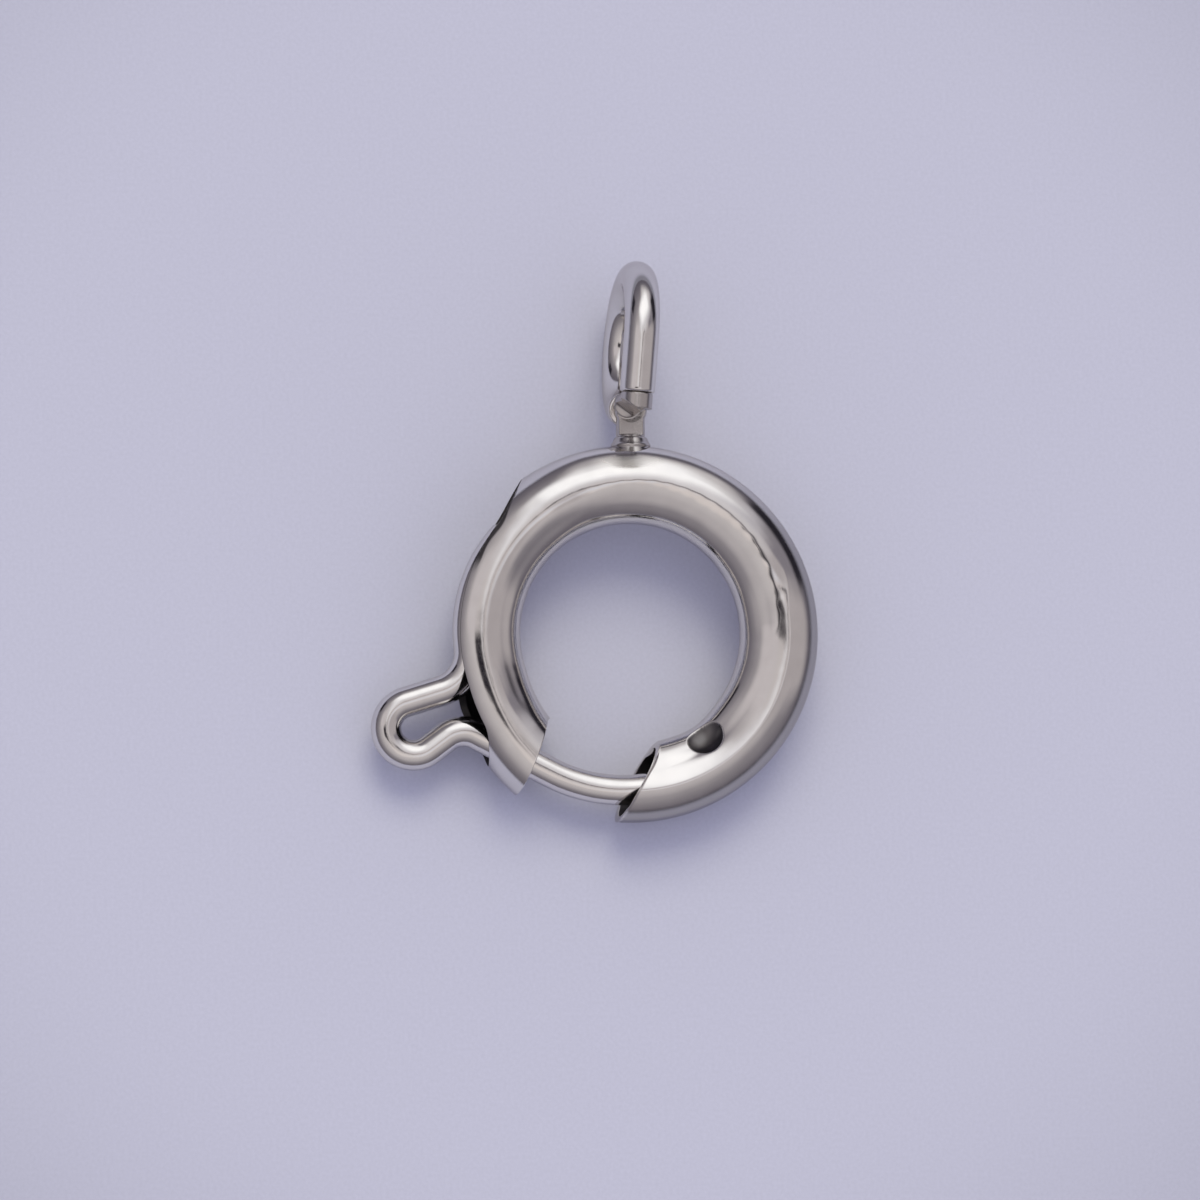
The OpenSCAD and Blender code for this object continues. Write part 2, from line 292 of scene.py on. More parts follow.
def run_at(a):
    """Distance along the tube whose skin lies at an angle."""
    a = np.atleast_1d(np.asarray(a, float))
    if (a <= OUT_A).all():
        return ring_run(a)
    table = np.linspace(0, ROUND_RUN + 6, 6000)
    c, e = centreline(table)
    return np.interp(a, polar(c + TUBE_R * e), table)


# ---------------------------------------------------------------- the mouth's cuts
mouth_mid = unit((RIGHT_A + LEFT_A) / 2)
MOUTH_TURN = np.array(Matrix.Rotation(math.radians(-MOUTH_SKEW), 3, Vector((*mouth_mid, 0))))


def cut_plane(a, slant):
    """A point on a mouth end's cut, and the cut's normal, which points into the mouth."""
    p = MOUTH_TURN @ np.append(RING_R * unit(a), 0)
    way = MOUTH_TURN @ np.append(unit(a + slant), 0)
    n = np.cross(way, MOUTH_TURN @ np.array([0, 0, 1.0]))
    into = np.append(mouth_mid * RING_R, 0) - p
    return p, (n if n @ into > 0 else -n)


# each cut's point and normal, and the distances along the tube between which it lies
RIGHT_CUT = cut_plane(START_A, RIGHT_SLANT) + (-2.0, 2.5)
LEFT_CUT = cut_plane(LEFT_A, LEFT_SLANT) + (ROUND_RUN, ROUND_RUN + 5)


def cut_run(cut, v, r, back):
    """Distance along the tube at which the line of angle v and radius r lies back from a cut."""
    p, n, low, high = cut
    v, r = np.broadcast_arrays(np.asarray(v, float), np.asarray(r, float))
    lo, hi = np.full(v.shape, low), np.full(v.shape, high)

    def past(run):
        return (on_tube(run, v, r) - p) @ n

    sign = 1.0 if past(lo).mean() < 0 else -1.0
    for _ in range(46):
        mid = (lo + hi) / 2
        inside = (past(mid) + back) * sign < 0
        lo, hi = np.where(inside, mid, lo), np.where(inside, hi, mid)
    return (lo + hi) / 2


# ---------------------------------------------------------------- the trigger's slit
def skin_x(a, seen_from):
    """Where skin at one angle lies sideways, as seen square on from another."""
    return SKIN_R * np.sin(np.radians(a - seen_from))


def rounded(a, seen_from, start, stop):
    """Falls as a quarter of a circle, from 1 at one angle to 0 at another."""
    x, x0, x1 = skin_x(a, seen_from), skin_x(start, seen_from), skin_x(stop, seen_from)
    return np.sqrt(np.clip(1 - np.clip((x - x0) / (x1 - x0), 0, 1) ** 2, 0, 1))


def slit_near(a):
    """Half width of the slit on its front side."""
    top = rounded(a, TOP_SEEN, SLIT_TOP + TOP_ROUND, SLIT_TOP)
    end = rounded(a, END_SEEN, NEAR_ROUND_A, SLIT_END)
    return SLIT_HALF * np.where(a < (SLIT_TOP + SLIT_END) / 2, top, end)


def slit_far(a):
    """Half width of the slit on its back side, which narrows towards the lower end."""
    x, x0, x1 = (skin_x(b, END_SEEN) for b in (a, NARROW_A, NARROW_DONE_A))
    narrow = (SLIT_FAR - SLIT_HALF) * np.clip((x - x0) / (x1 - x0), 0, 1)
    low = (SLIT_HALF + narrow) * rounded(a, END_SEEN, FAR_ROUND_A, SLIT_END)
    return np.where(a < NARROW_A, slit_near(a), low)


def slit_rows(start, stop, seen_from, shares):
    """Angles of the rows round a rounded end of the slit."""
    x0, x1 = skin_x(start, seen_from), skin_x(stop, seen_from)
    return seen_from + np.degrees(np.arcsin((x0 + (x1 - x0) * shares) / SKIN_R))


# ---------------------------------------------------------------- how the wall was worked, and where shade is painted on it
crimp_dist = TUBE_R + CRIMP_R - CRIMP_DEPTH
crimp_rise = math.radians(CRIMP_RISE)
crimp_c = np.append((RING_R - crimp_dist * math.cos(crimp_rise)) * unit(CRIMP_A),
                    crimp_dist * math.sin(crimp_rise))
# the hollow round it: depth, half length, and half width to the ring's inside and to the front
HOLLOW_DEEP, HOLLOW_LONG, HOLLOW_IN, HOLLOW_FRONT = 0.13, 0.72, 1.25, 0.5
HOLLOW_SHIFT = 8  # degrees of section that the hollow's middle lies from the crimp's
# tilts of the wall past each crease, in degrees, and the section over which two die away
RIGHT_TILT, RIGHT_FADES = 13, 44
UPPER_TILT, UPPER_FADES = 12, 34
BROAD_TILT = 10
FLAT_DEEP, LIP_MORE = 0.09, 0.27  # the upper side's flatness, the right mouth's thicker lip
WAVE_DEEP, RIDGE_WAVE_DEEP = 0.001, 0.0026
# how dark the painted shade is and how much duller these places are, from 0 to 1
UNDER_SHADE, DENT_SHADE, SLIT_LIP_SHADE = 0.42, 0.84, 0.92


def hollow(run, v):
    """How far the wall sank round the crimp when it was pressed."""
    along = skin_along(run, v, CRIMP_A)
    across = TUBE_R * (v - math.radians(180 - CRIMP_RISE + HOLLOW_SHIFT))
    across = np.where(across > 0, across / HOLLOW_IN, across / HOLLOW_FRONT)
    return HOLLOW_DEEP * hump(along / HOLLOW_LONG) * hump(across)


def dented(run, v, r, ball):
    """The tube's radius where the crimp's ball has pushed the wall in."""
    r = r - hollow(run, v)
    c, e = centreline(run)
    w = np.concatenate([np.cos(v)[..., None] * e, np.sin(v)[..., None]], -1)
    q = crimp_c - np.concatenate([c, np.zeros_like(v)[..., None]], -1)
    b = (q * w).sum(-1)
    d2 = (q * q).sum(-1) - b * b
    no_hit = 9.0
    face = b - np.sqrt(np.maximum(ball ** 2 - d2, 0))
    hit = np.where((d2 < ball ** 2) & (b > 0), face, no_hit)
    return soft_min(r, np.minimum(hit, no_hit), DENT_SOFT)


def ridge(run, base, sway):
    """Section angle of the upper right part's crease, wavier towards its right end."""
    a = ring_a(run)
    line = base + 13 * np.clip((42 - a) / 42, 0, 1) ** 1.4 + 6 * ease(a, 70, 115)
    return line + sway * np.sin(run * 7.1) * ease(a, 50, 20) + 0.5 * np.sin(run * 12.3 + 1)


def worked(run, v):
    """How far bending and polishing took the tube's wall below its round section.

    Two long soft creases run along its upper side, one from the right end past the crimp
    and one along the ridge of the upper right part. Past each crease the wall is flatter,
    so each is a tilt of the wall, in degrees, that starts at a line and dies away. A third,
    broader tilt lies on the left. The drop is the sum of the tilts, taken back on the inside.
    """
    a, d = ring_a(run), np.degrees(v)
    low = 75 - 13 * ease(a, 5, 27)
    right = (RIGHT_TILT + 11 * ease(a, -15, -55)) * ease(a, 29, 13)
    right = right * ease(d - low, 0, 4) * np.clip(1 - (d - low) / RIGHT_FADES, 0, 1)
    high = ridge(run, 84, 0.9)
    upper = (UPPER_TILT - 7 * ease(a, 30, 16)) * ease(a, -4, 4) * ease(a, 118, 88)
    upper = upper * ease(d - high, 0, 3.5) * np.clip(1 - (d - high) / UPPER_FADES, 0, 1)
    broad = BROAD_TILT * ease(a, 100, 130) * ease(d, 88, 112) * ease(d, 130, 116)
    slope = np.tan(np.radians(right + upper + broad))
    parts = (slope[:, 1:] + slope[:, :-1]) / 2 * np.diff(v, axis=1)
    drop = np.concatenate([np.zeros((len(v), 1)), np.cumsum(parts, axis=1)], 1)
    drop = drop - drop[:, -1:] * ease(d, 110, 160)
    # the whole upper side is a little flat, from the crimp to the slit
    flat = FLAT_DEEP * ease(d, 18, 62) * ease(d, 178, 130) * ease(a, 126, 104)
    # hand polishing left slow waves, deepest under the ridge
    where = np.exp(-((a - 30) / 40) ** 4) * hump((d - 100) / 26)
    waves = (np.sin(run * 5.3 + 2.2 * np.cos(v) + 0.4) + 0.8 * np.sin(run * 8.1 - 3.1 * v + 1.7)
             + 0.7 * np.sin(run * 2.1 - 1.3 * v) - 2.2) / 4
    return -TUBE_R * drop - flat + (WAVE_DEEP + RIDGE_WAVE_DEEP * where) * waves


def painted_shade(run, v, pit):
    """Where shade is painted dark on the tube, which is also made duller there, from 0 to 1.

    These are a painted dark line of shade along the ridge's crease, painted shade on the outer
    underside and in the crimp's dent, pit being its depth, and on the upper corner of the slit's
    lip.
    """
    a, d = ring_a(run), np.degrees(v)
    # painted shade: a dark line along the crease, the outer underside, the crimp's dent and the
    # slit lip's upper corner
    thin = 0.8 + 1.9 * ease(a, 44, 28) * (0.75 + 0.35 * np.sin(run * 9.7 + 0.5))
    crease = hump((d - ridge(run, 84.5, 1.4)) / thin) * ease(a, -3, 3) * ease(a, 112, 67)
    crease = crease * (0.5 + 0.5 * ease(a, 48, 34))
    under = UNDER_SHADE * ease(d, 45, 38) * ease(a, 70, 20) * ease(d, -70, -30)
    dent = (DENT_SHADE + 0.14 * ease(d, 136, 122)) * ease(pit, 0.005, 0.045)
    dent = dent * (np.abs(a - CRIMP_A) < 16)
    edge = (v - v[:, :1]) * TUBE_R
    wide = 0.05 + 0.11 * ease(a, 131, 139) + 0.02 * np.sin(run * 6)
    lip = SLIT_LIP_SHADE * ease(edge - wide, 0, -0.04) * ease(a, 125, 130) * ease(a, 160, 153)
    return np.maximum(np.maximum(crease, under), np.maximum(dent, lip))


def satin(run, v):
    """Where the tube's polish is dulled by the heat of the stem's weld."""
    away = np.hypot(skin_along(run, v, 90), TUBE_R * v)
    return ease(away, 1.75, 1.2) * ease(np.degrees(v), 38, 48)


# ---------------------------------------------------------------- the tube
def make_tube():
    """The bent tube: outer and inner face, the two mouth rims and the slit's two lips."""
    end_run = float(cut_run(LEFT_CUT, np.array([0.0]), np.array([0.0]), 0)[0])
    shares = np.sin(np.linspace(0, math.pi / 2, SLIT_ROWS))
    top_a = slit_rows(SLIT_TOP + TOP_ROUND, SLIT_TOP, TOP_SEEN, shares[::-1])
    low_a = slit_rows(NEAR_ROUND_A, SLIT_END, END_SEEN, shares)
    near_crimp, past_crimp = -70.5, -40  # rows lie closer between these angles
    right_run = float(run_at(near_crimp)[0])
    runs = [np.linspace(0, right_run, 26),
            run_at(np.linspace(near_crimp, past_crimp, 90))[1:],
            run_at(np.linspace(past_crimp, SLIT_TOP, 190))[1:],
            run_at(top_a)[1:],
            run_at(np.linspace(top_a[-1], OUT_A - 0.001, 66))[1:],
            run_at(np.linspace(OUT_A, low_a[0], 20))[1:],
            run_at(low_a)[1:]]
    top_row = sum(len(r) for r in runs[:3]) - 1
    tip_row = sum(len(r) for r in runs) - 1
    tip_run = float(runs[-1][-1])
    runs = np.concatenate(runs + [np.linspace(tip_run, end_run, 26)[1:]])
    c, e = centreline(runs)
    ang = polar(c + TUBE_R * e)
    row = np.arange(len(runs))
    inside = (row > top_row) & (row < tip_row)
    near, far = np.where(inside, slit_near(ang), 0), np.where(inside, slit_far(ang), 0)
    # the slit's edges get sharper where it closes
    soft_n, soft_f = (SOFT * np.clip(half / 0.2, 0, 1) for half in (near, far))
    around = np.linspace(0, 1, AROUND + 1)[None, :]

    def ends(v, r):
        """The rows' distances along the tube, those beside each end moved on to its cut."""
        grid = np.broadcast_to(runs[:, None], v.shape).copy()
        start, stop = cut_run(RIGHT_CUT, v[0], r, SOFT), cut_run(LEFT_CUT, v[-1], r, SOFT)
        z = runs <= right_run
        t = (runs[z] / right_run)[:, None]
        grid[z] = start[None] + t * (right_run - start[None])
        z = runs >= tip_run
        t = ((runs[z] - tip_run) / (end_run - tip_run))[:, None]
        grid[z] = tip_run + t * (stop[None] - tip_run)
        return grid

    def surface(r, ball):
        """One face of the wall: distance along the tube, section angle and radius."""
        vn, vf = np.arcsin(near / r) + soft_n / r, np.arcsin(far / r) + soft_f / r
        v = vn[:, None] + (2 * math.pi - vf - vn)[:, None] * around
        run = ends(v, r)
        return run, v, dented(run, v, r, ball)

    def change(run, v):
        """What working did to the wall, none of it at the slit's edges and at the left mouth."""
        edges = ease(v - v[:, :1], 0, 0.3) * ease(v[:, -1:] - v, 0, 0.3)
        still = ease(tip_run - run, 0, 1.5)
        return still * worked(run, v) * np.where(near[:, None] > 0.02, edges, 1)

    run_o, v_o, r_o = surface(TUBE_R, CRIMP_R + CRIMP_WIDER)
    skin_r = TUBE_R - SKIN_TRIM - hollow(run_o, v_o) + change(run_o, v_o)
    # where shade is painted dark on the outer face, which is also made duller there
    shade_mask = painted_shade(run_o, v_o, skin_r - r_o)
    r_o = np.minimum(r_o, skin_r)
    run_i, v_i, r_i = surface(BORE_R, CRIMP_R + WALL + CRIMP_WIDER)
    r_i = np.minimum(r_i, BORE_R + change(run_i, v_i))
    # the right mouth's lip is thicker towards the ring's hole
    d_i = np.degrees(v_i)
    r_i = r_i - (LIP_MORE * ease(run_i - run_i[:1], 0.35, 0)
                 * ease(d_i, 118, 144) * ease(d_i, 222, 192))
    outer, inner = on_tube(run_o, v_o, r_o), on_tube(run_i, v_i, r_i)
    co, uv, quads, look, shade_and_dull = [], [], [], [], []

    def add(grid, u, w, raw=0, marks=None):
        """One patch of the wall, polished, or raw and painted near black as the shade inside the
        tube.
        """
        shape = grid.shape[:2]
        shade_and_dull.append(np.zeros((2, shape[0] * shape[1])) if marks is None else marks.reshape(2, -1))
        quads.append(grid_quads(*shape, sum(len(x) for x in co)))
        co.append(grid.reshape(-1, 3))
        u, w = np.broadcast_to(u, shape), np.broadcast_to(w, shape)
        uv.append(np.stack([u, w], -1).reshape(-1, 2))
        look.append(np.full(len(quads[-1]), raw))

    add(outer, run_o, v_o * 0.4, marks=np.stack([shade_mask, satin(run_o, v_o)]))
    # the bore, rough and painted near black as shade
    add(inner, run_i, v_i * 0.4, raw=1)
    t = np.linspace(0, 1, 6)
    # a rim's section: radius, and distance back from the cut
    rim_path = [(TUBE_R - SOFT * s * s, SOFT * (1 - s) ** 2) for s in t]
    rim_path += [(TUBE_R - SOFT + (BORE_R + 2 * SOFT - TUBE_R) * s, 0) for s in (0.33, 0.67)]
    rim_path += [(BORE_R + SOFT * s * s, SOFT * (1 - s) ** 2) for s in t[::-1]]
    for cut, k in ((RIGHT_CUT, 0), (LEFT_CUT, -1)):
        v = v_o[k]
        rim = np.stack([on_tube(cut_run(cut, v, r, back), v, np.full(v.shape, r))
                        for r, back in rim_path])
        rim = rim + np.linspace(1, 0, len(rim))[:, None, None] * (outer[k] - rim[0])[None]
        rim[0], rim[-1] = outer[k], inner[k]
        add(rim, np.array([r for r, _ in rim_path])[:, None] * 3, v[None] * 0.4)
    rows = np.arange(top_row, tip_row + 1)
    for sign, halves, softs, k in ((1, near, soft_n, 0), (-1, far, soft_f, -1)):
        strips = []
        for i in rows:
            h, b = halves[i], softs[i]
            xo, xi = math.sqrt(TUBE_R ** 2 - h * h), math.sqrt(BORE_R ** 2 - h * h)
            p0 = TUBE_R * unit(math.degrees(math.asin(h / TUBE_R) + b / TUBE_R))
            k2 = BORE_R * unit(math.degrees(math.asin(h / BORE_R) + b / BORE_R))
            p2, k0 = np.array([xo - b, h]), np.array([xi + b, h])
            pts = bend(p0, np.array([xo, h]), p2, t)
            pts += [p2 + (k0 - p2) * s for s in (0.25, 0.5, 0.75)]
            pts = np.array(pts + bend(k0, np.array([xi, h]), k2, t))
            strips.append(np.concatenate([c[i] + pts[:, :1] * e[i], sign * pts[:, 1:]], 1))
        strips = np.array(strips)
        strips[:, 0], strips[:, -1] = outer[rows, k], inner[rows, k]
        # the slit's walls, rough and painted near black as shade
        add(strips, runs[rows][:, None], np.linspace(0, 0.3, strips.shape[1])[None], raw=1)
    marks = dict(zip(("shade_and_dull", "satin"), np.concatenate(shade_and_dull, 1)))
    return build("tube", np.concatenate(co), np.concatenate(quads), np.concatenate(uv), 3e-4,
                 look=np.concatenate(look), shade_and_dull=marks)


# ---------------------------------------------------------------- bolt and spring
leg_p = LEG_R * unit(LEG_A)
tail_c = leg_p - LEG_FLAT * left(LEG_A) - TAIL_R * unit(LEG_A)


def make_bolt():
    """One bent wire, from its tail in the tube, round the trigger, to the gate's tip."""
    upper_c = (LEG_R + UPPER_BEND) * unit(LEG_A)
    loop_in = upper_c + UPPER_BEND * left(UPPER_H) + UPPER_LEG * unit(UPPER_H)
    loop_c = loop_in + LOOP_R * left(UPPER_H)
    lower_p = loop_c - LOOP_R * left(LOWER_H) + LOWER_LEG * unit(LOWER_H)
    lower_c = lower_p - LOWER_BEND * left(LOWER_H)
    # the shank touches the lower bend and the gate's circle
    way = lower_c - GATE_C
    off = math.degrees(math.asin((GATE_R + LOWER_BEND) / np.linalg.norm(way)))
    shank_h = heading_of(way) + 180 - off
    arcs = [
        arc(tail_c, TAIL_R, LEG_A - TAIL_TURN, LEG_A),
        arc(upper_c, UPPER_BEND, LEG_A - 180, UPPER_H - 270, 0.04),
        arc(loop_c, LOOP_R, UPPER_H - 90, LOWER_H + 270, 0.03),
        arc(lower_c, LOWER_BEND, LOWER_H + 90, shank_h + 90, 0.03),
        arc(GATE_C, GATE_R, shank_h + 270, GATE_TIP),
    ]
    points = []
    for bent, _ in arcs:
        if points:
            a, b = points[-1][-1], bent[0]
            n = max(2, int(np.linalg.norm(b - a) / 0.05))
            points.append(a + (b - a) * np.linspace(0, 1, n + 1)[1:-1, None])
        points.append(bent)
    xy = np.concatenate(points)
    xy = xy[np.append(True, np.linalg.norm(np.diff(xy, axis=0), axis=1) > 1e-4)]
    tangent = np.gradient(xy, axis=0)
    tangent /= np.linalg.norm(tangent, axis=1)[:, None]
    side = np.stack([tangent[:, 1], -tangent[:, 0]], 1)
    return sweep("bolt_wire", deepen(xy), deepen(side), WIRE_R - TRIM, cap=0.12)


def make_coil():
    """The coil spring inside the tube, from the crimp to the bolt's tail."""
    end = tail_c + TAIL_R * unit(LEG_A - TAIL_TURN)
    last = heading_of(end) - math.degrees((COIL_WIRE + COIL_GAP) / RING_R)
    per_turn, wire_points = 40, 15
    n = COIL_TURNS * per_turn
    t = np.linspace(0, 1, n + 1)
    a = COIL_START + t * (last - COIL_START)
    turn = 2 * math.pi * COIL_TURNS * t
    radial = np.concatenate([unit(a) * np.cos(turn)[:, None], np.sin(turn)[:, None]], 1)
    pts = deepen(RING_R * unit(a)) + COIL_R * radial
    way = np.gradient(pts, axis=0)
    way /= np.linalg.norm(way, axis=1)[:, None]
    side = np.cross(way, radial)
    v = np.linspace(0, 2 * math.pi, wire_points)[None, :, None]
    co = pts[:, None] + COIL_WIRE * (np.cos(v) * radial[:, None] + np.sin(v) * side[:, None])
    tips = [np.broadcast_to(p, (1, wire_points, 3)) for p in (pts[0], pts[-1])]
    co = np.concatenate([tips[0], co, tips[1]])
    uv = np.stack(np.meshgrid(np.arange(n + 3) * 0.1, v.ravel() * 0.1, indexing="ij"), -1)
    return build("coil", co.reshape(-1, 3), grid_quads(n + 3, wire_points), uv.reshape(-1, 2))


# ---------------------------------------------------------------- eye, stem and their joint
EYE_ROT = rot("Y", EYE_TURN) @ rot("Z", -EYE_LEAN) @ rot("Y", 90)


def in_eye(p):
    """From the eye's own plane to the flat frame."""
    return np.asarray(p, float) @ EYE_ROT.T + np.array([EYE_X, EYE_Y, 0])


def make_eye():
    """The eye's wire, up the far side from the stem, over the top and down the near side."""
    pts, out = arc((0, 0), EYE_R, -90, 180)
    down = np.arange(0.05, EYE_NEAR + 0.001, 0.05)
    pts = np.concatenate([pts, np.stack([np.full(len(down), -EYE_R), -down], 1)])
    out = np.concatenate([out, np.tile([-1.0, 0.0], (len(down), 1))])
    return sweep("eye_wire", in_eye(deepen(pts)), deepen(out) @ EYE_ROT.T, EYE_WIRE - TRIM / 2,
                 cap=0.09, up=EYE_ROT @ np.array([0, 0, 1.0]))


def make_stem():
    """The stem with its flat front and the welded collar, turned about the stem's axis."""
    foot, top = SKIN_R - 0.4, SKIN_R + COLLAR_RISE
    # profile: radius, and height along the stem
    prof = [(r, foot) for r in (0.02, 0.2, 0.38, 0.57, WELD_R)]
    prof += [(r, foot + rise) for r, rise in (
        (0.70, 0.14), (0.655, 0.24), (0.622, 0.315), (0.615, 0.335), (0.622, 0.35),
        (COLLAR_R - 0.004, 0.375), (COLLAR_R, 0.40))]
    prof += [(COLLAR_R - 0.012 - 0.10 * t, SKIN_R + 0.03 + 0.19 * t - 0.02 * math.sin(math.pi * t))
             for t in np.linspace(0, 1, 12)]
    prof += [(COLLAR_TOP + 0.004, top - 0.022), (COLLAR_TOP - 0.02, top - 0.004),
             (STEM_R + 0.004, top), (STEM_R - 0.012, top + 0.012), (STEM_R - 0.012, top + 0.03),
             (STEM_R, top + 0.045)]
    prof += [(STEM_R, y) for y in np.linspace(top + 0.06, 7.2, 24)]
    prof = np.array(prof)
    v = np.linspace(0, 2 * math.pi, 97)
    x, z = prof[:, :1] * np.cos(v)[None], prof[:, :1] * np.sin(v)[None]
    y = np.broadcast_to(prof[:, 1:], x.shape)
    on_stem = np.clip((y - top - 0.005) / 0.05, 0, 1)
    no_limit = 1.2
    z = soft_min(z, no_limit + (STEM_FLAT - no_limit) * on_stem, 0.035)
    co = np.stack([STEM_X + x, y, z], -1)
    # the foot ends inside the tube's wall, so the bolt's tail passes under it
    out = np.hypot(co[..., 0], co[..., 1])
    off = np.stack([out - RING_R, z], -1)
    away = np.maximum(np.linalg.norm(off, axis=-1), 1e-6)
    off *= np.maximum(1, (TUBE_R - WALL / 2) / away)[..., None]
    moved = (RING_R + off[..., :1]) / out[..., None]
    co = np.concatenate([co[..., :2] * moved, off[..., 1:]], -1)
    uv = np.stack([y, np.broadcast_to(v[None], x.shape) * 0.2], -1)
    return build("stem", co.reshape(-1, 3), grid_quads(*x.shape), uv.reshape(-1, 2))


def make_joint():
    """The solder-joined knob between the stem's top and the ends of the eye's wire."""
    bm = bmesh.new()

    def ball(centre, r):
        bmesh.ops.create_uvsphere(bm, u_segments=48, v_segments=32, radius=r,
                                  matrix=Matrix.Translation(Vector(centre)))

    def bar(a, b, r):
        a, b = Vector(a), Vector(b)
        turn = (b - a).to_track_quat("Z", "Y").to_matrix().to_4x4()
        bmesh.ops.create_cone(bm, cap_ends=True, segments=64, radius1=r, radius2=r,
                              depth=(b - a).length, matrix=Matrix.Translation((a + b) / 2) @ turn)

    inset = 0.003
    neck_y = -EYE_NEAR - NECK_DROP
    near, mid = in_eye((-EYE_R, neck_y, 0)), in_eye((0, neck_y, 0))
    bar((STEM_X, 6.95, 0), (STEM_X, STEM_TOP, 0), STEM_R - inset)
    ball((STEM_X, EYE_Y - EYE_R, 0), EYE_WIRE - 0.022)
    flat = bmesh.ops.bisect_plane(bm, geom=bm.verts[:] + bm.edges[:] + bm.faces[:],
                                  plane_co=(0, 0, STEM_FLAT), plane_no=(0, 0, 1),
                                  clear_outer=True)
    rim = [g for g in flat["geom_cut"] if isinstance(g, bmesh.types.BMEdge)]
    bmesh.ops.holes_fill(bm, edges=rim)
    bar(mid, near, NECK_R - inset)
    ball(near, NECK_R - inset)
    bar(in_eye((-EYE_R, -EYE_NEAR - 0.02, 0)), in_eye((-EYE_R, neck_y - 0.3, 0)), 0.5)
    me = bpy.data.meshes.new("joint_raw")
    bm.to_mesh(me)
    bm.free()
    raw = add_object("joint_raw", me)
    m = raw.modifiers.new("join", "REMESH")
    m.mode, m.voxel_size, m.use_smooth_shade = "VOXEL", 0.014, True
    m = raw.modifiers.new("ease", "SMOOTH")
    m.factor, m.iterations = 0.5, 8
    done = bpy.data.meshes.new_from_object(
        raw.evaluated_get(bpy.context.evaluated_depsgraph_get()))
    bpy.data.objects.remove(raw)
    co = np.zeros(len(done.vertices) * 3)
    done.vertices.foreach_get("co", co)
    co = co.reshape(-1, 3)
    # the end of the eye's wire was pressed down to a slanted edge where it meets the stem
    slant = np.array([-0.585, -0.81, 0.0])
    past = np.maximum((co - near) @ slant - 0.27, 0)
    front = np.clip((co[:, 2] - STEM_FLAT - 0.03) / 0.06, 0, 1)
    co -= (past * front)[:, None] * slant
    done.vertices.foreach_set("co", co.astype(np.float32).ravel())
    for poly in done.polygons:
        poly.use_smooth = True
    return place("eye_joint", done)


# ---------------------------------------------------------------- shader nodes
def feed(n, inputs):
    """Sets a node's inputs, by name or number, to values or to other nodes' outputs."""
    for key, x in inputs.items():
        if isinstance(x, bpy.types.NodeSocket):
            n.id_data.links.new(x, n.inputs[key])
        else:
            n.inputs[key].default_value = x


def node(nt, kind, inputs=None, out=0, **fields):
    """The output of a new node, made with these fields and inputs."""
    n = nt.nodes.new("ShaderNode" + kind)
    for key, value in fields.items():
        setattr(n, key, value)
    feed(n, inputs or {})
    return n.outputs[out]


def noise(nt, vector, scale, detail, roughness=0.5):
    return node(nt, "TexNoise", {"Vector": vector, "Scale": scale, "Detail": detail,
                                 "Roughness": roughness}, "Fac")


def colour_ramp(nt, fac, stops):
    """Colours by value. The first two stops are the lowest and the highest."""
    out = node(nt, "ValToRGB", {"Fac": fac}, "Color")
    elements = out.node.color_ramp.elements
    for k, (at, colour) in enumerate(stops):
        stop = elements[k] if k < 2 else elements.new(at)
        stop.position, stop.color = at, colour
    return out


def laid_over(nt, below, mask, colour):
    """A colour laid over another where the mask is 1."""
    return node(nt, "Mix", {0: mask, 6: below, 7: colour}, 2, data_type="RGBA")


def scaled(colour, share):
    return tuple(x * share for x in colour) + (1,)


# ---------------------------------------------------------------- materials
STEEL = (0.74, 0.72, 0.70)
HEAT_STEEL = (0.50, 0.475, 0.46)
# the bore and the slit's walls: raw steel whose colour is painted near black as the shade inside
# the tube
RAW_SHADED_STEEL = (0.075, 0.07, 0.07)
SPRING_STEEL = (0.55, 0.54, 0.53)
# the colour of the painted shade on the tube, and how much rougher the shaded places and the weld's
# satin make the polish
SHADE_COLOUR = (0.045, 0.04, 0.045, 1)
SHADE_ROUGHER, SATIN_ROUGHER = 0.25, 0.26
FLOOR = (0.515, 0.515, 0.575)


def new_material(name):
    mat = bpy.data.materials.new(name)
    mat.use_nodes = True
    return mat, mat.node_tree, mat.node_tree.nodes["Principled BSDF"]


